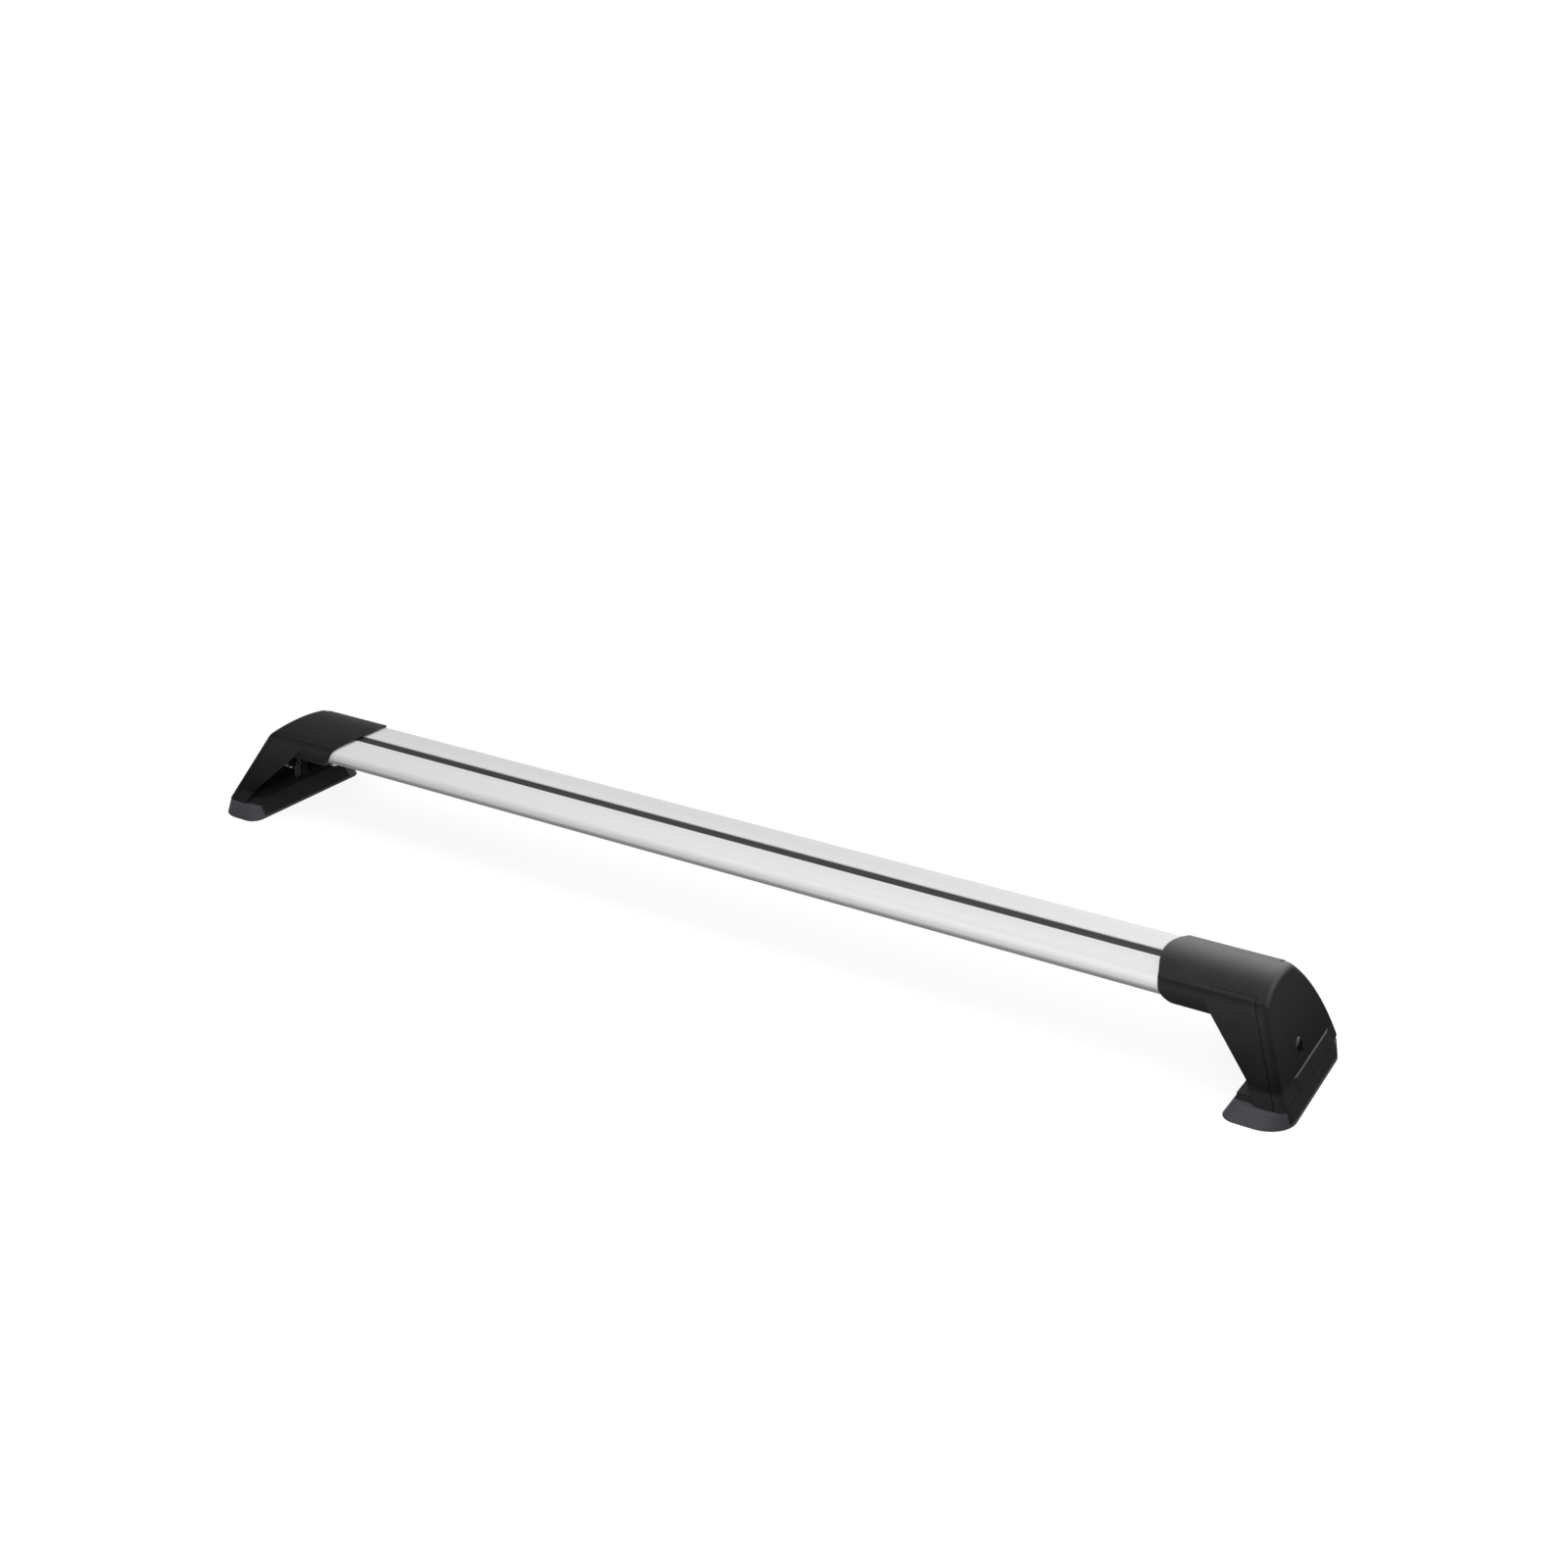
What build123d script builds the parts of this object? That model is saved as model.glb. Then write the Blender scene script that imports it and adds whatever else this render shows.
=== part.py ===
"""Roof rack crossbar: an extruded aerofoil bar on two moulded feet with rubber pads and lockable end covers.

The frame: X runs along the bar, Y from the blunt leading edge to the slim trailing edge, Z up.
The origin is on the surface that the pads stand on, midway between the feet.
The right foot is modelled at +X, and the left foot is its mirror image.
"""

from build123d import *
import math
import os

# Overall
overall_length = 1133.0  # outer edge to outer edge of the two pads, level with the slot
bar_end_gap = 0.4  # between the bar's end and the start of the foot's end rounding

# Bar section: two end circles joined by a crown arc above and a belly arc below
nose_reach = 35.0  # leading edge, in front of the slot's centre
tail_reach = 44.0  # trailing edge, behind the slot's centre
nose_radius = 7.5
tail_radius = 3.5
nose_height = 71.5  # centre of the nose circle above the floor
tail_height = 77.5  # centre of the tail circle above the floor
crown_radius = 140.0
belly_radius = 80.0
bar_wall = 2.0

# Accessory slot along the top of the bar
slot_mouth = 11.0
slot_lip = 2.4
slot_width = 21.0
slot_depth = 7.6
slot_wall = 2.0

# Rubber strip in the slot
strip_side_gap = 0.2
strip_sink = 0.4  # its top lies this far below the bar's top
strip_foot_width = 16.0
strip_foot_height = 2.2
strip_end_inset = 1.0

# Sleeve of the leg, which holds the bar's end
fit_gap = 0.3
sleeve_wall = 2.2
sleeve_under = 2.2  # extra thickness below the bar
mouth_line = (  # points of its mouth: inset from the pad's outer edge, and rise above the nose's centre
    (142.0, 18.5),
    (133.5, 14.0),
    (125.5, 8.0),
    (123.0, 1.0),
    (115.5, -7.5),
    (108.5, -13.5),
)
sleeve_end_gap = 1.0  # sleeve past the bar's end

# Foot outline seen along the bar
front_reach = 67.0
rear_reach = 76.5
leg_bottom = 12.5
rear_shoulder_radius = 12.5
rear_shoulder_y = 35.0

# Foot outline seen from the front
end_lean = 0.485  # how far the end face leans in for each millimetre up
end_toe = 0.03  # how far it turns in for each millimetre towards the rear
end_round = 7.0
least_round = 1.0  # on edges inside the end
leg_wall = 4.0
leg_inner_top = (91.5, 79.0)  # inset from the pad's outer edge, and height
leg_inner_knee = (38.5, 28.4)
leg_inner_foot = 28.5  # inset where the wall stands on the pad
flange_inner_inset = 44.5
flange_thickness = 4.7

# End cover
cover_wall = 2.2
seam_past_round = 0.1  # from the end's rounding in to the seam
cover_lift = 0.6  # gap between its lower edge and the pad
seam_gap = 0.8
butt_gap = 0.1  # where the tongue's inner edge meets the sleeve
return_start = 85.5  # inset of the top tongue's inner edge
return_front = -26.0
return_rear = 34.0
cover_run_gap = 1.2  # between the flange and the cover that slides over it
lip_top = 23.5  # raised lip along the foot of the end face
lip_front = -25.0
lip_rear = 52.0
lip_proud = 1.0
lip_taper = 7.0  # length over which each end of the lip fades out

# Lock in the end cover
lock_height = 36.5
lock_sink = 0.6  # the pocket's floor, below the end face at the pocket's top
lock_head_radius = 6.4
lock_pocket_gap = 0.4  # round the lock's head
lock_boss_wall = 2.8  # round the pocket
lock_boss_depth = 4.0
lock_head_height = 2.1
lock_head_round = 0.8
lock_body_radius = 5.4
lock_body_length = 14.3
lock_fit = 0.1
core_radius = 4.0
core_clearance = 0.05
core_proud = 0.3
key_slot_width = 1.5
key_slot_length = 5.8
key_slot_depth = 7.0
nut_across_flats = 14.0
nut_thickness = 4.3
nut_gap = 0.1
tongue_thickness = 2.4
tongue_tip_gap = 3.3  # between the hanging tongue and the flange under it
tongue_width = 9.0
tongue_gap = 0.2
tongue_screw_radius = 2.0
tongue_screw_depth = 6.0
tongue_screw_head_radius = 3.6
tongue_screw_head_height = 2.3
tongue_screw_hex = 3.0
tongue_screw_hex_depth = 1.4
tongue_screw_end_gap = 1.0  # between its tip and the end of its hole
catch_gap = 1.0  # between the turned tongue and the catch in front of it
catch_thickness = 4.5
catch_clearance = 1.0  # between the lock's nut and the catch beside it
catch_width = 8.5
catch_rise = 8.5  # above the lock's axis

# Bar bolts under the sleeve
bolt_insets = (94.5, 64.5)
bolt_radius = 3.0
bolt_clearance = 0.25
bolt_flats = 10.0
bolt_head_height = 4.4
washer_radius = 6.0
washer_thickness = 1.2
boss_half_width = 9.0
boss_depth = 2.3  # below the sleeve
boss_margin = 9.0
thread_gap = 0.05
nut_plate_side_gap = 1.5  # in the bar's middle cell
nut_plate_thickness = 5.5
nut_plate_margin = 7.0

# Rubber pad and its fixing holes
pad_inner_inset = 52.0
pad_end_ledge = 1.5  # past the leg's rear, at both ends of the sole
pad_outer_corner = 26.0
pad_inner_corner = 12.0
pad_top_inner_inset = 45.0
pad_top_outer_proud = 0.5  # past the end cover's face
pad_top_front_ledge = 2.5  # past the leg's front
pad_top_rear_ledge = 0.9  # past the leg's rear
pad_top_outer_corner = 12.5
pad_top_inner_corner = 8.0
pad_edge_round = 2.0
pad_gap = 0.2  # round the leg's tray
sole_thickness = 2.2  # rubber under the tray
tray_half_length = 61.0
tray_wall = 3.0
tray_roof = 2.0
tread_width = 3.0
tread_depth = 1.4
tread_pitch = 13.0
tread_margin = 8.0  # plain border of the sole
fixing_inset = 30.5
fixing_spacing = 91.0
fixing_radius = 4.5

# Worked-out values
half_length = overall_length / 2
sleeve_grow = fit_gap + sleeve_wall
lean_angle = math.atan(end_lean)
end_slope = math.sqrt(1 + end_lean**2 + end_toe**2)  # X for each millimetre square to the end face
cover_depth = end_round * end_slope + seam_past_round  # from the end face in to the seam
nose = Vector(nose_radius - nose_reach, nose_height)
tail = Vector(tail_reach - tail_radius, tail_height)
far = 200.0  # past everything in a foot's section
cut_past = 1.0  # how far a cut runs past the face that it opens
tolerance = 0.001  # for finding edges by their place
nut_corner_radius = nut_across_flats / math.sqrt(3)
lock_pocket_radius = lock_head_radius + lock_pocket_gap
lock_boss_radius = lock_pocket_radius + lock_boss_wall
flange_top = leg_bottom + flange_thickness
tongue_length = lock_height - flange_top - tongue_tip_gap
catch_top = lock_height + catch_rise
nut_plate_width = slot_width - 2 * nut_plate_side_gap
pad_half_length = rear_reach + pad_end_ledge
pad_top_front = front_reach + pad_top_front_ledge
pad_top_rear = rear_reach + pad_top_rear_ledge


def round_centre(radius, side):
    """Centre of the arc of that radius that wraps both end circles: side -1 is below them, +1 above."""
    along = tail - nose
    span = along.length
    unit = along.normalized()
    normal = Vector(-unit.Y, unit.X)
    to_nose = radius - nose_radius
    to_tail = radius - tail_radius
    step = (span**2 + to_nose**2 - to_tail**2) / (2 * span)
    rise = math.sqrt(to_nose**2 - step**2)
    return nose + unit * step + normal * (side * rise)


crown_centre = round_centre(crown_radius, -1)
belly_centre = round_centre(belly_radius, 1)


def crown_height(y, grow=0.0):
    """Height of the bar's upper surface, grown outwards, at that Y."""
    return crown_centre.Y + math.sqrt((crown_radius + grow) ** 2 - (y - crown_centre.X) ** 2)


def belly_height(y, grow=0.0):
    """Height of the bar's lower surface, grown outwards, at that Y."""
    return belly_centre.Y - math.sqrt((belly_radius + grow) ** 2 - (y - belly_centre.X) ** 2)


def away(centre, end, radius):
    """The point of the circle round end that lies straight away from centre."""
    return end + (end - centre).normalized() * radius


def between(centre, first, last, radius):
    """The middle of the arc round centre from first to last."""
    return centre + ((first - centre).normalized() + (last - centre).normalized()).normalized() * radius


def arc(first, middle, last):
    return ThreePointArc(tuple(first), tuple(middle), tuple(last))


def section_face(curves):
    """A face in the plane across the bar, from curves drawn as (Y, Z)."""
    return Plane.YZ * make_face(Curve() + curves)


def prism_along_x(face, low, high):
    return Pos(low, 0, 0) * extrude(face, high - low, dir=(1, 0, 0))


def side_prism(points, front=-far, rear=far, toe=0.0):
    """An outline drawn as (X, Z) at Y = 0, carried along Y from front to rear and turned in by a toe."""
    shifted = [(x - toe * front, z) for x, z in points]
    face = Plane.XZ.offset(-front) * make_face(Polyline(*shifted, close=True))
    return extrude(face, (rear - front) * math.hypot(1, toe), dir=(-toe, 1, 0))


def block(x, y, z):
    """A box between pairs of coordinates."""
    size = [pair[1] - pair[0] for pair in (x, y, z)]
    middle = [(pair[0] + pair[1]) / 2 for pair in (x, y, z)]
    return Pos(*middle) * Box(*size)


def rod(x_low, x_high, radius, y=0.0, z=lock_height):
    """A round bar along X."""
    return Pos((x_low + x_high) / 2, y, z) * Rot(0, 90, 0) * Cylinder(radius, x_high - x_low)


def post(x, y, z_low, z_high, radius):
    """A round bar along Z."""
    return Pos(x, y, (z_low + z_high) / 2) * Cylinder(radius, z_high - z_low)


def bar_outline(grow):
    """The bar's outer section, grown outwards by that much."""
    nose_top = away(crown_centre, nose, nose_radius + grow)
    tail_top = away(crown_centre, tail, tail_radius + grow)
    tail_low = away(belly_centre, tail, tail_radius + grow)
    nose_low = away(belly_centre, nose, nose_radius + grow)
    crown_middle = between(crown_centre, nose_top, tail_top, crown_radius + grow)
    belly_middle = between(belly_centre, nose_low, tail_low, belly_radius + grow)
    tail_tip = tail + (tail - nose).normalized() * (tail_radius + grow)
    nose_tip = nose + (nose - tail).normalized() * (nose_radius + grow)
    return section_face(
        [
            arc(nose_top, crown_middle, tail_top),
            arc(tail_top, tail_tip, tail_low),
            arc(tail_low, belly_middle, nose_low),
            arc(nose_low, nose_tip, nose_top),
        ]
    )


def rectangle(y, z):
    """A rectangle across the bar, between pairs of coordinates."""
    middle = ((y[0] + y[1]) / 2, (z[0] + z[1]) / 2)
    return Plane.YZ * Pos(*middle) * Rectangle(y[1] - y[0], z[1] - z[0])


boss_bottom = belly_height(0.0, sleeve_grow) - sleeve_under - boss_depth
slot_top = crown_height(0.0)
slot_lip_low = slot_top - slot_lip
slot_floor = slot_lip_low - slot_depth


def crossbar():
    """Hollow extrusion with three cells and the accessory slot."""
    outer = bar_outline(0.0)
    web = slot_width / 2 + slot_wall
    channel_walls = rectangle((-web, web), (slot_floor - slot_wall, far))
    cells = bar_outline(-bar_wall) - channel_walls
    for low in (-web, web - slot_wall):
        cells -= rectangle((low, low + slot_wall), (0, far))
    channel = rectangle((-slot_width / 2, slot_width / 2), (slot_floor, slot_lip_low))
    mouth = rectangle((-slot_mouth / 2, slot_mouth / 2), (slot_lip_low, far))
    return prism_along_x(outer - cells - channel - mouth, -bar_half, bar_half)


def slot_strip():
    """Rubber strip that closes the slot, with a foot under the slot's lips."""
    half = slot_mouth / 2 - strip_side_gap
    foot_top = slot_lip_low - strip_side_gap
    stem = rectangle((-half, half), (foot_top, slot_top - strip_sink))
    foot = rectangle((-strip_foot_width / 2, strip_foot_width / 2), (foot_top - strip_foot_height, foot_top))
    length = bar_half - strip_end_inset
    return prism_along_x(stem + foot, -length, length)


def end_x(z, inset=0.0, y=0.0):
    """X of the end face, moved inwards by that much, at that height and Y."""
    return half_length - end_lean * z - end_toe * y - inset * end_slope


bar_half = end_x(slot_top, end_round, return_rear) - bar_end_gap
lock_floor = end_x(lock_height + lock_pocket_radius) - lock_sink


def shoulder(y, radius):
    """Centre of a shoulder circle that touches the sleeve's crown from inside."""
    reach = crown_radius + sleeve_grow - radius
    return Vector(y, crown_centre.Y + math.sqrt(reach**2 - (y - crown_centre.X) ** 2))


front_shoulder = nose
front_shoulder_radius = nose_radius + sleeve_grow
rear_shoulder = shoulder(rear_shoulder_y, rear_shoulder_radius)


def front_flare_angle():
    """Slope of the straight front wall, from the leg's foot to the front shoulder."""
    foot = Vector(-front_reach, leg_bottom)
    toward = front_shoulder - foot
    return math.atan2(toward.Y, toward.X) + math.asin(front_shoulder_radius / toward.length)


def rear_flare():
    """Centre and radius of the rear wall's arc, upright at its foot and tangent to the rear shoulder."""
    across = rear_reach - rear_shoulder.X
    up = rear_shoulder.Y - leg_bottom
    radius = (across**2 + up**2 - rear_shoulder_radius**2) / (2 * (across - rear_shoulder_radius))
    return Vector(rear_reach - radius, leg_bottom), radius


def foot_outline(inset):
    """The foot seen along the bar: crown, shoulders, straight front and arched rear, moved inwards."""
    angle = front_flare_angle()
    slope = Vector(math.cos(angle), math.sin(angle))
    front_normal = Vector(-slope.Y, slope.X)
    rear_centre, rear_radius = rear_flare()
    front_radius = front_shoulder_radius - inset
    front_top = front_shoulder + front_normal * front_radius
    front_low = front_top - slope * ((front_top.Y - leg_bottom) / slope.Y)
    crown_front = away(crown_centre, front_shoulder, front_radius)
    crown_rear = away(crown_centre, rear_shoulder, rear_shoulder_radius - inset)
    rear_top = away(rear_centre, rear_shoulder, rear_shoulder_radius - inset)
    rear_low = Vector(rear_reach - inset, leg_bottom)
    crown_middle = between(crown_centre, crown_front, crown_rear, crown_radius + sleeve_grow - inset)
    front_middle = between(front_shoulder, front_top, crown_front, front_radius)
    rear_middle = between(rear_shoulder, crown_rear, rear_top, rear_shoulder_radius - inset)
    rear_arch = between(rear_centre, rear_top, rear_low, rear_radius - inset)
    curves = [
        Line(tuple(front_low), tuple(front_top)),
        arc(front_top, front_middle, crown_front),
        arc(crown_front, crown_middle, crown_rear),
        arc(crown_rear, rear_middle, rear_top),
        arc(rear_top, rear_arch, rear_low),
        Line(tuple(rear_low), tuple(front_low)),
    ]
    return section_face(curves)


def foot_body(inset=0.0):
    """The whole foot as a solid, moved inwards by that much, with its end face leaning and rounded."""
    start = half_length - leg_inner_top[0] - sleeve_wall
    long_body = prism_along_x(foot_outline(inset), start, half_length + far)
    keep = [(0, -far), (end_x(-far, inset), -far), (end_x(far, inset), far), (0, far)]
    body = long_body & side_prism(keep, toe=end_toe)

    def on_end_face(edge):
        ends = [edge @ 0, edge @ 0.5, edge @ 1]
        on_plane = all(abs(p.X - end_x(p.Z, inset, p.Y)) < tolerance for p in ends)
        return on_plane and ends[1].Z > leg_bottom + tolerance

    return fillet(body.edges().filter_by(on_end_face), max(end_round - inset, least_round))


def cover_region(low, gap=0.0):
    """The end cover's space above low, grown by a gap: the foot's end, and a tongue over the bar."""
    seam = [end_x(z) - cover_depth - gap for z in (low, far)]
    outer = half_length + far
    end = side_prism([(seam[0], low), (outer, low), (outer, far), (seam[1], far)], toe=end_toe)
    tongue = block(
        (half_length - return_start - min(gap, butt_gap), half_length),
        (return_front - gap, return_rear + min(gap, fit_gap)),
        (slot_floor, far),
    )
    return end + tongue


def bar_envelope():
    """The space that the bar's end takes up, with its fit."""
    return prism_along_x(bar_outline(fit_gap), 0, bar_half + sleeve_end_gap)


def cover_lip():
    """Raised lip along the foot of the end face, chamfered above and fading out at both ends."""
    low = leg_bottom + cover_lift
    root = cover_wall / 2
    strip = side_prism(
        [
            (end_x(low) - root, low),
            (end_x(low) + lip_proud, low),
            (end_x(lip_top) + lip_proud, lip_top),
            (end_x(lip_top + lip_proud) - root, lip_top + lip_proud),
        ],
        toe=end_toe,
    )
    corners = [
        (-root, lip_front - lip_taper),
        (0, lip_front - lip_taper),
        (lip_proud, lip_front),
        (lip_proud, lip_rear),
        (0, lip_rear + lip_taper),
        (-root, lip_rear + lip_taper),
    ]
    plan = Polyline(*[(x - end_toe * y, y) for x, y in corners], close=True)
    slope = (lip_top + lip_proud - low) / math.cos(lean_angle)
    return strip & extrude(Pos(end_x(low), 0, low) * make_face(plan), slope, dir=(-end_lean, 0, 1))


def end_cover():
    """Moulded cap: the end face, its rounded edges and a tongue over the bar, with the lock's pocket."""
    shell = foot_body() & cover_region(leg_bottom + cover_lift)
    shell = shell - foot_body(cover_wall) - bar_envelope()
    boss = rod(lock_floor - lock_boss_depth, half_length, lock_boss_radius) & foot_body()
    pocket = rod(lock_floor, half_length, lock_pocket_radius)
    bore = rod(0, half_length, lock_body_radius + lock_fit)
    return shell + boss + cover_lip() - pocket - bore


def sleeve_outline():
    """The bar's section grown by the sleeve's wall, and carried down to thicken the underside."""
    round_bar = bar_outline(sleeve_grow)
    front = nose - Vector(nose_radius + sleeve_grow, 0)
    rear = tail + Vector(tail_radius + sleeve_grow, 0)
    drop = Vector(0, -sleeve_under)
    corners = [tuple(corner) for corner in (front, rear, rear + drop, front + drop)]
    return round_bar + Pos(0, 0, -sleeve_under) * round_bar + section_face([Polyline(*corners, close=True)])


def sleeve():
    """Closed ring round the bar's end, its mouth cut along a slanting curve."""
    ring = prism_along_x(sleeve_outline(), 0, bar_half + sleeve_end_gap)
    mouth = [(half_length - inset, nose_height + rise) for inset, rise in mouth_line]
    top, low = mouth[0], mouth[-1]
    back = Polyline(low, (low[0], 0), (half_length, 0), (half_length, far), (top[0], far), top)
    face = Plane.XZ.offset(far) * make_face(Curve() + [Spline(*mouth), back])
    return ring & extrude(face, 2 * far, dir=(0, 1, 0))


def leg_walls():
    """Front and rear walls of the leg, open towards the middle of the bar and towards the end cover."""
    shell = foot_body() - foot_body(leg_wall)
    top = half_length - leg_inner_top[0]
    outline = [
        (top, leg_inner_top[1]),
        (half_length - leg_inner_knee[0], leg_inner_knee[1]),
        (half_length - leg_inner_foot, leg_bottom),
        (half_length, leg_bottom),
        (half_length, far),
        (bar_half, far),
        (bar_half, leg_inner_top[1]),
    ]
    return shell & side_prism(outline)


def bolt_positions():
    return [half_length - inset for inset in bolt_insets]


def leg():
    """Leg moulding: sleeve, two walls, foot flange, bolt boss and the catch for the lock's tongue."""
    outside = sleeve() + leg_walls() - cover_region(0, seam_gap)
    flange_inner = half_length - flange_inner_inset
    flange = foot_body(cover_wall + cover_run_gap) & block(
        (flange_inner, half_length), (-far, far), (leg_bottom, flange_top)
    )
    bolts = bolt_positions()
    boss = block(
        (bolts[0] - boss_margin, bolts[1] + boss_margin),
        (-boss_half_width, boss_half_width),
        (boss_bottom, nose_height),
    )
    tongue_face = lock_floor - lock_body_length
    catch_low = tongue_face + catch_gap - tongue_gap
    catch_front = nut_corner_radius + catch_clearance
    catch = block(
        (catch_low, catch_low + catch_thickness),
        (catch_front, catch_front + catch_width),
        (leg_bottom, catch_top),
    )
    body = outside + flange + boss + catch + tray() - bar_envelope()
    for x in bolts:
        body -= post(x, 0, boss_bottom, nose_height, bolt_radius + bolt_clearance)
    for y in fixing_rows():
        body -= post(half_length - fixing_inset, y, 0, flange_top + cut_past, fixing_radius)
    return body


def base_outline(z, inner, outer, front, rear, inner_corner, outer_corner):
    """The foot's base at that height, with its outer side along the end's toe and rounded corners."""
    outer_side = [(outer - end_toe * y, y) for y in (front, rear)]
    outline = make_face(Polyline((inner, front), *outer_side, (inner, rear), close=True))
    outline = fillet(outline.vertices().sort_by(Axis.X)[:2], inner_corner)
    outline = fillet(outline.vertices().sort_by(Axis.X)[-2:], outer_corner)
    return Pos(0, 0, z) * outline


base_outer_top = end_x(leg_bottom) + pad_top_outer_proud
base_inner = half_length - pad_inner_inset
base_inner_top = half_length - pad_top_inner_inset


def base_block():
    """The foot's base below the leg: drafted sides and a rounded rim."""
    low_sides = (base_inner, half_length, -pad_half_length, pad_half_length)
    top_sides = (base_inner_top, base_outer_top, -pad_top_front, pad_top_rear)
    sole = base_outline(0, *low_sides, pad_inner_corner, pad_outer_corner)
    top = base_outline(leg_bottom, *top_sides, pad_top_inner_corner, pad_top_outer_corner)
    body = loft([sole, top], ruled=True)
    return fillet(body.faces().sort_by(Axis.Z)[-1].edges(), pad_edge_round)


def tray_space(gap=0.0):
    """The leg's tray in the base, grown by a gap: a roof and two side walls, open at both ends."""
    wall = tray_wall + gap
    roof = leg_bottom - tray_roof - gap
    reach = tray_half_length + gap
    outer = half_length + far
    inner_side = [(base_inner + wall, 0), (outer, 0), (outer, roof), (base_inner_top + wall, roof)]
    outer_side = [(0, 0), (half_length - wall, 0), (base_outer_top - wall, roof), (0, roof)]
    hollow = side_prism(inner_side, -reach, reach) & side_prism(outer_side, -reach, reach, end_toe)
    return block((0, outer), (-reach, reach), (sole_thickness - gap, far)) - hollow


def tray():
    """Skirt of the leg round the pad's middle, under the flange."""
    return base_block() & tray_space()


def fixing_rows():
    return (-fixing_spacing / 2, fixing_spacing / 2)


def bar_with_bolt_holes():
    """The bar, drilled from below for the bolts of both feet."""
    body = crossbar()
    for x in bolt_positions():
        for side in (-1, 1):
            body -= post(side * x, 0, boss_bottom, slot_floor - slot_wall, bolt_radius + bolt_clearance)
    return body


plate_low = max(belly_height(y, -bar_wall) for y in (-nut_plate_width / 2, nut_plate_width / 2)) + thread_gap


def nut_plate():
    """Steel plate inside the bar's middle cell that the bar bolts screw into."""
    bolts = bolt_positions()
    plate = block(
        (bolts[0] - nut_plate_margin, bolts[1] + nut_plate_margin),
        (-nut_plate_width / 2, nut_plate_width / 2),
        (plate_low, plate_low + nut_plate_thickness),
    )
    for x in bolts:
        plate -= post(x, 0, plate_low, plate_low + nut_plate_thickness, bolt_radius + thread_gap)
    return plate


def hexagon(flats, height):
    return extrude(RegularPolygon(flats / math.sqrt(3), 6), height)


def hex_along_x(x, flats, length):
    """A hexagonal bar along X, on the lock's axis."""
    return Pos(x, 0, lock_height) * Rot(0, 90, 0) * hexagon(flats, length)


def bar_bolts():
    """Two hex bolts, up through the boss and the bar into the plate."""
    seat = boss_bottom - washer_thickness
    made = []
    for x in bolt_positions():
        head = Pos(x, 0, seat - bolt_head_height) * hexagon(bolt_flats, bolt_head_height)
        shank = post(x, 0, seat, plate_low + nut_plate_thickness, bolt_radius)
        made.append(head + shank)
    return made


def bar_washers():
    seat = boss_bottom - washer_thickness
    hole = bolt_radius + thread_gap
    return [
        post(x, 0, seat, boss_bottom, washer_radius) - post(x, 0, seat, boss_bottom, hole)
        for x in bolt_positions()
    ]


def base_pad():
    """Rubber pad: it fills the tray and shows at both ends, with a treaded sole and the fixing holes."""
    body = base_block() - tray_space(pad_gap)
    reach = pad_half_length - tread_margin
    rounds = [max(corner - tread_margin, least_round) for corner in (pad_inner_corner, pad_outer_corner)]
    sides = (base_inner + tread_margin, half_length - tread_margin, -reach, reach)
    field = extrude(base_outline(-cut_past, *sides, *rounds), tread_depth + cut_past)
    count = int(reach // tread_pitch)
    for step in range(-count, count + 1):
        y = step * tread_pitch
        body -= field & block((0, half_length + far), (y - tread_width / 2, y + tread_width / 2), (-far, far))
    for y in fixing_rows():
        body -= post(half_length - fixing_inset, y, -cut_past, leg_bottom + cut_past, fixing_radius)
    return body


tongue_outer = lock_floor - lock_body_length - tongue_gap
tongue_inner = tongue_outer - tongue_thickness


def lock_housing():
    """Lock body: a round head in the pocket and a barrel through the cover."""
    head = rod(lock_floor, lock_floor + lock_head_height, lock_head_radius)
    head = fillet(head.edges().filter_by(GeomType.CIRCLE).sort_by(Axis.X)[-1], lock_head_round)
    barrel = rod(lock_floor - lock_body_length, lock_floor, lock_body_radius)
    bore = rod(0, half_length, core_radius + core_clearance)
    return head + barrel - bore


def lock_nut():
    """Hex nut that clamps the lock to the back of the pocket."""
    outer = lock_floor - lock_boss_depth
    body = hex_along_x(outer - nut_thickness, nut_across_flats, nut_thickness)
    return body - rod(0, half_length, lock_body_radius + nut_gap)


def lock_core():
    """Turning plug with a key slot at the front and a screw hole at the back."""
    front = lock_floor + lock_head_height + core_proud
    body = rod(tongue_outer + tongue_gap / 2, front, core_radius)
    slot_half = key_slot_length / 2
    slot = block(
        (front - key_slot_depth, front + cut_past),
        (-key_slot_width / 2, key_slot_width / 2),
        (lock_height - slot_half, lock_height + slot_half),
    )
    hole = rod(tongue_inner, tongue_outer + tongue_screw_depth, tongue_screw_radius + thread_gap)
    return body - slot - hole


def lock_tongue():
    """Flat steel tongue: it hangs down when unlocked and turns sideways behind the catch."""
    half = tongue_width / 2
    tip = lock_height - tongue_length
    hub = rod(tongue_inner, tongue_outer, half)
    arm = block((tongue_inner, tongue_outer), (-half, half), (tip, lock_height))
    arm = fillet(arm.edges().filter_by(Axis.X).group_by(Axis.Z)[0], half / 2)
    return hub + arm - rod(0, half_length, tongue_screw_radius + thread_gap)


def tongue_screw():
    """Small screw that holds the tongue on the plug."""
    head = rod(tongue_inner - tongue_screw_head_height, tongue_inner, tongue_screw_head_radius)
    tip = tongue_outer + tongue_screw_depth - tongue_screw_end_gap
    shank = rod(tongue_inner, tip, tongue_screw_radius)
    recess = hex_along_x(tongue_inner - tongue_screw_head_height, tongue_screw_hex, tongue_screw_hex_depth)
    return head + shank - recess


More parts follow.
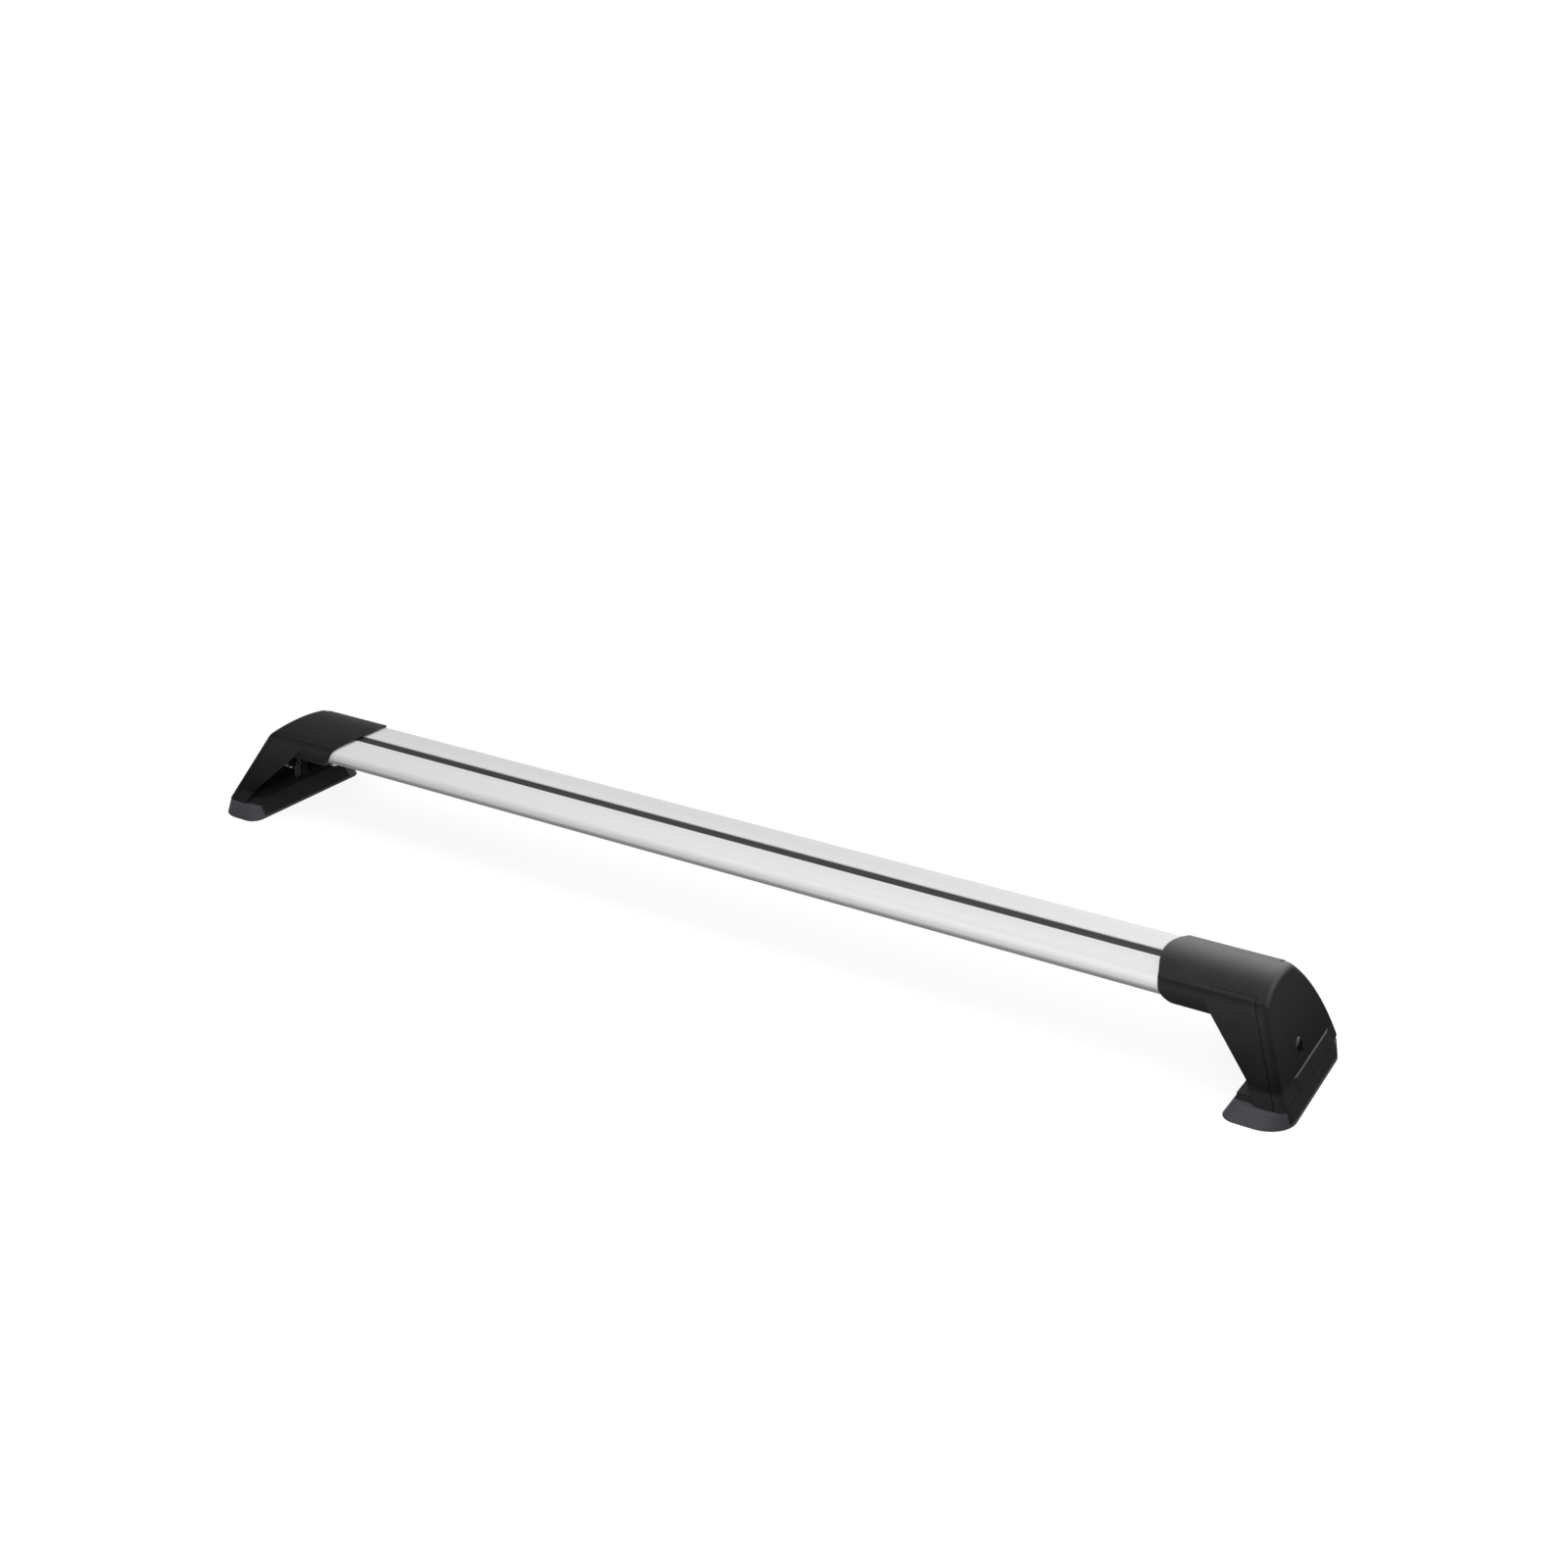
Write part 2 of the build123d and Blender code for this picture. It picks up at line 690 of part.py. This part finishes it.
def write(name, shapes):
    """One file for a node: a single solid, or a group of separate ones."""
    shapes = shapes if isinstance(shapes, list) else [shapes]
    solids = [solid for shape in shapes for solid in shape.solids()]
    whole = solids[0] if len(solids) == 1 else Compound(children=solids)
    export_step(whole, os.path.join("parts", name + ".step"))


def mirrored(shapes):
    shapes = shapes if isinstance(shapes, list) else [shapes]
    return [mirror(shape, about=Plane.YZ) for shape in shapes]


foot_pieces = {
    "leg": leg,
    "end_cover": end_cover,
    "base_pad": base_pad,
    "nut_plate": nut_plate,
    "bar_bolts": bar_bolts,
    "bolt_washers": bar_washers,
    "lock_housing": lock_housing,
    "lock_nut": lock_nut,
    "lock_core": lock_core,
    "lock_tongue": lock_tongue,
    "tongue_screw": tongue_screw,
}


os.makedirs("parts", exist_ok=True)
write("crossbar", bar_with_bolt_holes())
write("slot_strip", slot_strip())
for piece, make in foot_pieces.items():
    made = make()
    write("right_" + piece, made)
    write("left_" + piece, mirrored(made))
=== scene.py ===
"""Roof rack crossbar: finishes, fine detail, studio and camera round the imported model."""

import math

import bpy
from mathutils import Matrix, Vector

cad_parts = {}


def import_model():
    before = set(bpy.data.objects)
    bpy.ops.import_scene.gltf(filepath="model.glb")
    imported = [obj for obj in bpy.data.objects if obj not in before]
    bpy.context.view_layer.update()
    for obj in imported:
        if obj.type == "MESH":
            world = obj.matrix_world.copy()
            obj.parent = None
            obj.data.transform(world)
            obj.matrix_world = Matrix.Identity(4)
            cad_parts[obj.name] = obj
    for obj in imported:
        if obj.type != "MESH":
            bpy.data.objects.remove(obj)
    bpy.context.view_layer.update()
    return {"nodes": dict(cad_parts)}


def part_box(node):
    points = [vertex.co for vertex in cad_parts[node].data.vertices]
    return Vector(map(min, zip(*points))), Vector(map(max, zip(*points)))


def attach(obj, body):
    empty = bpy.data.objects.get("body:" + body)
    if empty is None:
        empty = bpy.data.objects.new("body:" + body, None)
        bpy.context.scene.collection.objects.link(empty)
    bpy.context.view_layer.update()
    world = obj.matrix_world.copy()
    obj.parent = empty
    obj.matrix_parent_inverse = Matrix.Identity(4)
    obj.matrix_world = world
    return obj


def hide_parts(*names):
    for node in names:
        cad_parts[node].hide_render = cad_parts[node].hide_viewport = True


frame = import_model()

sides = {"right": 1, "left": -1}

# Camera, fitted to the photograph
camera_place = (0.926, -1.355, 0.836)
camera_down = math.radians(23.21)
camera_turn = math.radians(32.18)
camera_lens = 45.72
sensor_width = 36.0

# Studio
surround_light = 0.15
horizon_height = 0.08  # sine of the elevation up to which metal sees the white horizon
floor_size = 60.0
floor_paper = (0.19, 0.20)  # shades that the lamps light for the camera
floor_bounce = 0.15  # shade that lights the object from below
floor_glow = (0.86, 1.0)  # added for the camera, near the object and away from it
glow_reach = (0.5, 1.5)  # distances from the object's middle for these two
softboxes = {  # place, point faced, width and height, watts
    "back": ((0.68, 1.9, 0.72), (0.5, 0.0, 0.05), (2.3, 0.8), 16.5),
    "overhead": ((-0.3, 0.1, 2.4), (-0.3, 0.0, 0.05), (2.6, 1.6), 31.5),
    "front": ((0.6, -1.45, 1.1), (0.15, 0.0, 0.05), (1.4, 0.9), 18.0),
}

# Edges that catch the light, as radii in metres
bar_edge = 0.0004
moulding_edge = 0.0003
pad_edge = 0.0008
metal_edge = 0.0003

# Bar: painted shade darkens its underside, by the Z of its normal
painted_shade_slope = (-0.3, 0.1)
painted_shade_loss = 0.5

# Black plastic: satin on top, with painted light making it paler higher up towards the shoulders and in a
# band along its foot
satin_slope = (0.45, 0.95)  # Z of its normal
satin_turn = (-0.5, -0.05)  # Y of its normal, so that the front shoulder stays dull
satin_height = (0.014, 0.02)  # above the tray's rim
satin_weight = 0.8
# painted light: paler from the lower to the upper of these heights
painted_light_height = (0.02, 0.075)
painted_light_lost = 0.7  # where it is satin
# painted light: paler below these heights, along the foot
painted_light_low_height = (0.022, 0.026)

# Slot strip: its section across the bar, in metres
strip_low, strip_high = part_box("slot_strip")
strip_half_width = 0.0053
strip_foot_height = 0.0022
strip_ribs = 4
strip_rib_depth = 0.00035
strip_edge_round = 0.0006
strip_top_steps = 24  # points over half of its top
strip_edge_steps = 4

# Ribs inside the legs' walls, in metres, as (Y, Z) on the walls' inner faces
rib_count = 5
rib_thickness = 0.0016
rib_depth = 0.005
rib_sink = 0.0003  # into the wall that carries it
rib_walls = {
    "front": ((-0.0541, 0.0300), (-0.0421, 0.0550)),
    "rear": ((0.0707, 0.0300), (0.0664, 0.0440), (0.0604, 0.0560)),
}
rib_inner_edge = (0.5620, -1.047)  # X at the floor and its change for each metre up
rib_outer_edge = (0.5530, -0.485)


class Wire:
    """A socket in a node tree. Arithmetic on it adds Math nodes, and add() puts in any other node."""

    def __init__(self, tree, socket=None):
        self.tree = tree
        self.socket = socket

    def add(self, kind, settings=None, inputs=None, output=0):
        """A new node: its settings first, then the values or links of its sockets. Returns one output."""
        node = self.tree.nodes.new(kind)
        for name, value in (settings or {}).items():
            setattr(node, name, value)
        for key, value in (inputs or {}).items():
            if isinstance(value, Wire):
                self.tree.links.new(value.socket, node.inputs[key])
            else:
                node.inputs[key].default_value = value
        return Wire(self.tree, node.outputs[output] if node.outputs else None)

    def maths(self, operation, first, second):
        return self.add("ShaderNodeMath", {"operation": operation}, {0: first, 1: second})

    def __add__(self, other):
        return self.maths("ADD", self, other)

    def __sub__(self, other):
        return self.maths("SUBTRACT", self, other)

    def __rsub__(self, other):
        return self.maths("SUBTRACT", other, self)

    def __mul__(self, other):
        return self.maths("MULTIPLY", self, other)

    __radd__ = __add__

    def between(self, low, high):
        """0 at low, 1 at high, held outside them."""
        return self.add("ShaderNodeMapRange", None, {"Value": self, "From Min": low, "From Max": high})

    def axis(self, name):
        """The X, Y or Z of a vector."""
        return self.add("ShaderNodeSeparateXYZ", None, {0: self}, name)

    def stretch(self, factors):
        return self.add("ShaderNodeVectorMath", {"operation": "MULTIPLY"}, {0: self, 1: factors})

    def noise(self, scale, detail):
        return self.add("ShaderNodeTexNoise", None, {"Vector": self, "Scale": scale, "Detail": detail})

    def cells(self, scale):
        return self.add("ShaderNodeTexVoronoi", None, {"Vector": self, "Scale": scale})

    def mixed(self, first, second):
        """A colour between two others, by this value."""
        settings = {"data_type": "RGBA", "blend_type": "MIX"}
        return self.add("ShaderNodeMix", settings, {0: self, 6: (*first, 1), 7: (*second, 1)}, 2)

    def bumped(self, strength, distance, normal=None):
        """A normal raised by this height."""
        inputs = {"Height": self, "Strength": strength, "Distance": distance}
        if normal:
            inputs["Normal"] = normal
        return self.add("ShaderNodeBump", None, inputs)


def new_finish(name):
    """An empty material: the material, its wire and its Object coordinates."""
    material = bpy.data.materials.new(name)
    material.use_nodes = True
    material.node_tree.nodes.clear()
    root = Wire(material.node_tree)
    return material, root, root.add("ShaderNodeTexCoord", output="Object")


def surface(root, **sockets):
    """Ends a material in a Principled shader, with sockets named as in Blender but for the underscores."""
    inputs = {name.replace("_", " "): value for name, value in sockets.items()}
    shader = root.add("ShaderNodeBsdfPrincipled", None, inputs)
    root.add("ShaderNodeOutputMaterial", None, {"Surface": shader})


def soft_edges(root, radius):
    """Normals that are rounded over edges."""
    return root.add("ShaderNodeBevel", {"samples": 6}, {"Radius": radius})


def edge_mask(root, rounded):
    """1 along the edges that those normals round, 0 on the faces between them."""
    plain = root.add("ShaderNodeNewGeometry", output="Normal")
    facing = root.add("ShaderNodeVectorMath", {"operation": "DOT_PRODUCT"}, {0: rounded, 1: plain}, "Value")
    return (1 - facing).between(0.02, 0.25)


def own_normal(root):
    """The surface's direction in its object's frame."""
    return root.add("ShaderNodeTexCoord", output="Normal")


def grey(shade):
    return (shade, shade, shade)


def anodised_aluminium():
    """Satin anodised extrusion: fine die lines along the bar, a faint grain and painted shade on its
    underside.
    """
    material, root, place = new_finish("anodised_aluminium")
    die_lines = place.stretch((2.0, 700.0, 700.0)).noise(1.0, 3.0)
    broad_lines = place.stretch((0.8, 90.0, 90.0)).noise(1.0, 2.0)
    grain = place.noise(4000.0, 1.0)
    tone = die_lines * 0.45 + broad_lines * 0.4 + grain * 0.15
    # painted shade: the base colour is darker where the normal faces down
    painted_shade_below = 1 - own_normal(root).axis("Z").between(*painted_shade_slope)
    shade = (0.9 + tone.between(0.3, 0.7) * 0.1) * (1 - painted_shade_below * painted_shade_loss)
    rounded = soft_edges(root, bar_edge)
    surface(
        root,
        Base_Color=shade.mixed(grey(0.0), (0.875, 0.875, 0.885)),
        Metallic=0.15,
        Specular_IOR_Level=0.35,
        Roughness=0.52 + tone * 0.12,
        Normal=tone.bumped(0.12, 0.0002, rounded),
    )
    return material


def moulded_plastic():
    """Black glass-filled nylon: spark texture, satin on top, and painted light making it paler towards
    shoulders and foot.
    """
    material, root, place = new_finish("moulded_black_plastic")
    grain = place.cells(1500.0)
    mottle = place.noise(60.0, 3.0)
    facing = own_normal(root)
    up = facing.axis("Z").between(*satin_slope)
    rearward = facing.axis("Y").between(*satin_turn)
    height = place.axis("Z")
    above_tray = height.between(*satin_height)
    # painted light: the base colour gets paler higher up, less so where it is satin
    painted_light_high = height.between(*painted_light_height) * (1 - up * painted_light_lost)
    # painted light: the base colour is paler below the lip's height
    painted_light_low = 1 - height.between(*painted_light_low_height)
    rounded = soft_edges(root, moulding_edge)
    edges = edge_mask(root, rounded)
    # random mottle and worn edges, with the painted light added
    tone = mottle * 0.2 + edges * 0.3 + painted_light_high * 0.6 + painted_light_low * 0.35
    surface(
        root,
        Base_Color=tone.between(0.1, 0.9).mixed((0.005, 0.005, 0.0054), (0.040, 0.040, 0.042)),
        Roughness=0.70 + mottle * 0.06,
        Specular_IOR_Level=0.05,
        Coat_Weight=up * rearward * above_tray * satin_weight,
        Coat_Roughness=0.40,
        Normal=grain.bumped(0.25, 0.0002, rounded),
    )
    return material


def pad_rubber():
    """Slate-grey rubber with a fine stipple, paler where it is worn along its edges."""
    material, root, place = new_finish("slate_rubber")
    stipple = place.cells(1100.0)
    bloom = place.noise(45.0, 4.0)
    rounded = soft_edges(root, pad_edge)
    edges = edge_mask(root, rounded)
    tone = bloom * 0.6 + edges * 0.4
    surface(
        root,
        Base_Color=tone.between(0.15, 0.85).mixed((0.050, 0.050, 0.060), (0.084, 0.084, 0.099)),
        Roughness=0.62 + bloom * 0.16,
        Specular_IOR_Level=0.3,
        Normal=stipple.bumped(0.3, 0.0003, rounded),
    )
    return material


def strip_rubber():
    """Black extruded rubber, streaked along the bar."""
    material, root, place = new_finish("strip_rubber")
    streaks = place.stretch((4.0, 500.0, 500.0)).noise(1.0, 2.0)
    dust = place.noise(120.0, 4.0)
    tone = streaks * 0.6 + dust * 0.4
    surface(
        root,
        Base_Color=tone.between(0.3, 0.75).mixed((0.034, 0.034, 0.034), (0.058, 0.058, 0.06)),
        Roughness=0.55 + dust * 0.2,
        Specular_IOR_Level=0.3,
        Normal=streaks.bumped(0.2, 0.0002),
    )
    return material


def bright_zinc():
    """Zinc-plated steel with a cloudy spangle."""
    material, root, place = new_finish("bright_zinc")
    spangle = place.cells(700.0)
    cloud = place.noise(220.0, 3.0)
    rounded = soft_edges(root, metal_edge)
    tone = cloud * 0.6 + spangle * 0.4
    surface(
        root,
        Base_Color=tone.between(0.2, 0.8).mixed((0.68, 0.69, 0.70), (0.86, 0.86, 0.85)),
        Metallic=0.5,
        Roughness=0.30 + cloud * 0.2,
        Normal=cloud.bumped(0.1, 0.0002, rounded),
    )
    return material


def black_steel():
    """Blackened steel with a brushed grain and worn edges."""
    material, root, place = new_finish("black_steel")
    brushed = place.stretch((900.0, 60.0, 900.0)).noise(1.0, 3.0)
    rounded = soft_edges(root, metal_edge)
    edges = edge_mask(root, rounded)
    tone = brushed * 0.4 + edges * 0.6
    surface(
        root,
        Base_Color=tone.between(0.1, 0.9).mixed((0.010, 0.010, 0.0105), (0.03, 0.03, 0.03)),
        Metallic=0.3,
        Roughness=0.50 + brushed * 0.15,
        Specular_IOR_Level=0.2,
        Normal=brushed.bumped(0.12, 0.0002, rounded),
    )
    return material


def lock_chrome():
    """Dark chrome of the lock: fine turning rings round its axis."""
    material, root, place = new_finish("dark_chrome")
    rings = place.stretch((0.0, 1.0, 1.0)).noise(1600.0, 1.0)
    smear = place.noise(400.0, 3.0)
    rounded = soft_edges(root, metal_edge)
    edges = edge_mask(root, rounded)
    tone = rings * 0.3 + smear * 0.3 + edges * 0.4
    surface(
        root,
        Base_Color=tone.between(0.1, 0.8).mixed((0.02, 0.02, 0.021), (0.09, 0.09, 0.093)),
        Metallic=0.9,
        Roughness=0.24 + smear * 0.15,
        Normal=rings.bumped(0.06, 0.0001, rounded),
    )
    return material


def node_tree_input(tree, name, kind):
    return tree.interface.new_socket(name=name, in_out="INPUT", socket_type=kind).identifier


def shape_tree(name, sizes):
    """A Geometry Nodes tree with a geometry input, named size inputs and a material input."""
    tree = bpy.data.node_groups.new(name, "GeometryNodeTree")
    tree.interface.new_socket(name="Geometry", in_out="OUTPUT", socket_type="NodeSocketGeometry")
    names = {"Geometry": node_tree_input(tree, "Geometry", "NodeSocketGeometry")}
    for size, kind in sizes.items():
        names[size] = node_tree_input(tree, size, kind)
    names["Finish"] = node_tree_input(tree, "Finish", "NodeSocketMaterial")
    start = tree.nodes.new("NodeGroupInput")
    wires = {socket.name: Wire(tree, socket) for socket in start.outputs if socket.name}
    return tree, names, wires


def close_tree(shape, wires):
    """Ends a tree in Realize Instances and Set Material."""
    shape = shape.add("GeometryNodeRealizeInstances", None, {0: shape})
    shape = shape.add("GeometryNodeSetMaterial", None, {"Geometry": shape, "Material": wires["Finish"]})
    shape.add("NodeGroupOutput", None, {0: shape})


def grown(name, data, tree, names, values):
    """A plain mesh object from an object that carries the tree with those inputs."""
    seed = bpy.data.objects.new(name + "_seed", data)
    bpy.context.scene.collection.objects.link(seed)
    modifier = seed.modifiers.new("shape", "NODES")
    modifier.node_group = tree
    for key, value in values.items():
        modifier[names[key]] = value
    bpy.context.view_layer.update()
    depsgraph = bpy.context.evaluated_depsgraph_get()
    mesh = bpy.data.meshes.new_from_object(seed.evaluated_get(depsgraph), depsgraph=depsgraph)
    bpy.data.objects.remove(seed)
    mesh.name = name
    piece = bpy.data.objects.new(name, mesh)
    bpy.context.scene.collection.objects.link(piece)
    return piece


def poly_curve(name, points, closed=False):
    """A curve of straight steps through the points."""
    curve = bpy.data.curves.new(name, "CURVE")
    curve.dimensions = "3D"
    spline = curve.splines.new("POLY")
    spline.points.add(len(points) - 1)
    for point, place in zip(spline.points, points):
        point.co = (*place, 1)
    spline.use_cyclic_u = closed
    return curve


def strip_section():
    """Half of the strip's outline, from the middle of its ribbed top round to the middle of its foot."""
    top = strip_high[2]
    shelf = strip_low[2] + strip_foot_height
    half_foot = strip_high[1]
    points = []
    flat = strip_half_width - strip_edge_round
    for step in range(strip_top_steps + 1):
        y = flat * step / strip_top_steps
        wave = 0.5 - 0.5 * math.cos(2 * math.pi * strip_ribs * y / flat)
        points.append((y, top - strip_rib_depth * wave))
    for step in range(1, strip_edge_steps + 1):
        angle = math.pi / 2 * step / strip_edge_steps
        y = flat + strip_edge_round * math.sin(angle)
        points.append((y, top - strip_edge_round * (1 - math.cos(angle))))
    points += [(strip_half_width, shelf), (half_foot, shelf), (half_foot, strip_low[2]), (0, strip_low[2])]
    return points


def strip_tree():
    """Carries a section, drawn as a closed curve, along X between two ends."""
    tree, names, wires = shape_tree("strip_sweep", {"Start": "NodeSocketFloat", "End": "NodeSocketFloat"})
    root = wires["Geometry"]
    ends = [root.add("ShaderNodeCombineXYZ", None, {"X": wires[key]}) for key in ("Start", "End")]
    line = root.add("GeometryNodeCurvePrimitiveLine", None, {"Start": ends[0], "End": ends[1]})
    swept = root.add(
        "GeometryNodeCurveToMesh", None, {"Curve": line, "Profile Curve": root, "Fill Caps": True}
    )
    close_tree(swept, wires)
    return tree, names


def slot_strip(finish):
    """The rubber strip in the slot, with fine ribs along its top."""
    half = strip_section()
    outline = half + [(-y, z) for y, z in reversed(half[1:-1])]
    curve = poly_curve("strip_section", [(y, -z, 0) for y, z in outline], closed=True)
    tree, names = strip_tree()
    values = {"Start": strip_low[0], "End": strip_high[0], "Finish": finish}
    piece = grown("ribbed_strip", curve, tree, names, values)
    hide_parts("slot_strip")
    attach(piece, "frame")


def rib_tree():
    """Ribs square to a wall, one at each step of a curve that climbs it, between two slanting edges."""
    sizes = {
        "Count": "NodeSocketInt",
        "Thickness": "NodeSocketFloat",
        "Depth": "NodeSocketFloat",
        "Inner edge": "NodeSocketFloat",
        "Inner slope": "NodeSocketFloat",
        "Outer edge": "NodeSocketFloat",
        "Outer slope": "NodeSocketFloat",
        "Side": "NodeSocketFloat",
        "Inward": "NodeSocketFloat",
    }
    tree, names, wires = shape_tree("wall_ribs", sizes)
    root = wires["Geometry"]
    steps = root.add("GeometryNodeResampleCurve", None, {"Curve": root, "Count": wires["Count"]})
    height = root.add("GeometryNodeInputPosition").axis("Z")
    inner = wires["Inner edge"] + wires["Inner slope"] * height
    outer = wires["Outer edge"] + wires["Outer slope"] * height
    middle = (inner + outer) * 0.5 * wires["Side"]
    along = root.add("ShaderNodeCombineXYZ", None, {"X": middle})
    climb = root.add("GeometryNodeInputTangent")
    turn = root.add(
        "FunctionNodeAlignRotationToVector", {"axis": "Z", "pivot_axis": "X"}, {"Vector": climb}
    )
    size = root.add("ShaderNodeCombineXYZ", None, {"X": 1.0, "Y": wires["Depth"], "Z": wires["Thickness"]})
    rib = root.add("GeometryNodeMeshCube", None, {"Size": size})
    length = root.add("ShaderNodeCombineXYZ", None, {"X": outer - inner, "Y": 1.0, "Z": 1.0})
    inputs = {"Points": steps, "Instance": rib, "Rotation": turn, "Scale": length}
    ribs = root.add("GeometryNodeInstanceOnPoints", None, inputs)
    inputs = {"Instances": ribs, "Translation": along, "Local Space": False}
    ribs = root.add("GeometryNodeTranslateInstances", None, inputs)
    proud = root.add("ShaderNodeCombineXYZ", None, {"Y": wires["Inward"]})
    inputs = {"Instances": ribs, "Translation": proud, "Local Space": True}
    ribs = root.add("GeometryNodeTranslateInstances", None, inputs)
    close_tree(ribs, wires)
    return tree, names


def leg_ribs(finish):
    """Moulded ribs on the inner faces of both walls of each leg."""
    tree, names = rib_tree()
    for side, sign in sides.items():
        for wall, points in rib_walls.items():
            curve = poly_curve("wall_line", [(0, y, z) for y, z in points])
            values = {
                "Count": rib_count,
                "Thickness": rib_thickness,
                "Depth": rib_depth,
                "Inner edge": rib_inner_edge[0],
                "Inner slope": rib_inner_edge[1],
                "Outer edge": rib_outer_edge[0],
                "Outer slope": rib_outer_edge[1],
                "Side": float(sign),
                "Inward": math.copysign(rib_depth / 2 - rib_sink, -points[0][0]),
                "Finish": finish,
            }
            piece = grown(side + "_" + wall + "_ribs", curve, tree, names, values)
            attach(piece, "frame")


def dress(finishes):
    """Gives every CAD node its finish."""
    kinds = {
        "crossbar": "aluminium",
        "slot_strip": "strip",
        "leg": "plastic",
        "end_cover": "plastic",
        "base_pad": "rubber",
        "lock_housing": "chrome",
        "lock_core": "chrome",
        "lock_tongue": "black_steel",
        "tongue_screw": "black_steel",
    }
    for name, node in frame["nodes"].items():
        kind = name.replace("right_", "").replace("left_", "")
        material = finishes[kinds.get(kind, "zinc")]
        node.data.materials.clear()
        node.data.materials.append(material)


def ray_kinds(root):
    """1 for rays from the camera, and 1 for rays that metal or glass sends on, with 0 for all others."""
    path = root.add("ShaderNodeLightPath").socket.node
    kinds = ("Is Camera Ray", "Is Glossy Ray", "Is Transmission Ray")
    camera, glossy, through = (Wire(root.tree, path.outputs[kind]) for kind in kinds)
    return camera, root.maths("MAXIMUM", glossy, through)


def floor():
    """Plain white floor: it keeps the object's soft shadow and is white elsewhere."""
    material, root, place = new_finish("studio_floor")
    paper = place.noise(3.0, 2.0).mixed(*map(grey, floor_paper))
    lit = root.add("ShaderNodeBsdfDiffuse", None, {"Color": paper})
    dim = root.add("ShaderNodeBsdfDiffuse", None, {"Color": (*grey(floor_bounce), 1)})
    reach = root.add("ShaderNodeVectorMath", {"operation": "LENGTH"}, {0: place}, "Value")
    near, away = floor_glow
    glow = near + reach.between(*glow_reach) * (away - near)
    glow = root.add("ShaderNodeEmission", None, {"Color": (1, 1, 1, 1), "Strength": glow})
    both = root.add("ShaderNodeAddShader", None, {0: lit, 1: glow})
    seen = root.maths("MAXIMUM", *ray_kinds(root))
    mixed = root.add("ShaderNodeMixShader", None, {0: seen, 1: dim, 2: both})
    root.add("ShaderNodeOutputMaterial", None, {"Surface": mixed})
    bpy.ops.mesh.primitive_plane_add(size=floor_size)
    ground = bpy.context.object
    ground.name = "studio_floor"
    ground.data.materials.append(material)


def world():
    """Dim surroundings: white all over to the camera, and white at the horizon to metal."""
    surround = bpy.data.worlds.new("studio")
    bpy.context.scene.world = surround
    surround.use_nodes = True
    surround.node_tree.nodes.clear()
    root = Wire(surround.node_tree)
    direction = root.add("ShaderNodeTexCoord", output="Generated")
    horizon = 1 - direction.axis("Z").between(0.0, horizon_height)
    camera, mirrored = ray_kinds(root)
    white = root.maths("MAXIMUM", camera, mirrored * horizon)
    strength = surround_light + white * (1 - surround_light)
    light = root.add("ShaderNodeBackground", None, {"Color": (1, 1, 1, 1), "Strength": strength})
    root.add("ShaderNodeOutputWorld", None, {"Surface": light})


def softbox(name, place, target, size, power):
    """A rectangular lamp that faces a point and isn't seen itself."""
    lamp = bpy.data.lights.new(name, "AREA")
    lamp.shape = "RECTANGLE"
    lamp.size, lamp.size_y = size
    lamp.energy = power
    holder = bpy.data.objects.new(name, lamp)
    bpy.context.scene.collection.objects.link(holder)
    holder.location = place
    aim = [to - at for to, at in zip(target, place)]
    flat = math.hypot(aim[0], aim[1])
    holder.rotation_euler = (math.atan2(flat, -aim[2]), 0, math.atan2(-aim[0], aim[1]))
    holder.visible_camera = False


def studio():
    floor()
    world()
    for name, (place, target, size, power) in softboxes.items():
        softbox(name, place, target, size, power)


def camera():
    data = bpy.data.cameras.new("camera")
    data.lens = camera_lens
    data.sensor_width = sensor_width
    view = bpy.data.objects.new("camera", data)
    bpy.context.scene.collection.objects.link(view)
    view.location = camera_place
    view.rotation_euler = (math.pi / 2 - camera_down, 0, camera_turn)
    bpy.context.scene.camera = view


finishes = {
    "aluminium": anodised_aluminium(),
    "plastic": moulded_plastic(),
    "rubber": pad_rubber(),
    "strip": strip_rubber(),
    "zinc": bright_zinc(),
    "black_steel": black_steel(),
    "chrome": lock_chrome(),
}
dress(finishes)
slot_strip(finishes["strip"])
leg_ribs(finishes["plastic"])
studio()
camera()
bpy.context.scene.view_settings.view_transform = "Standard"
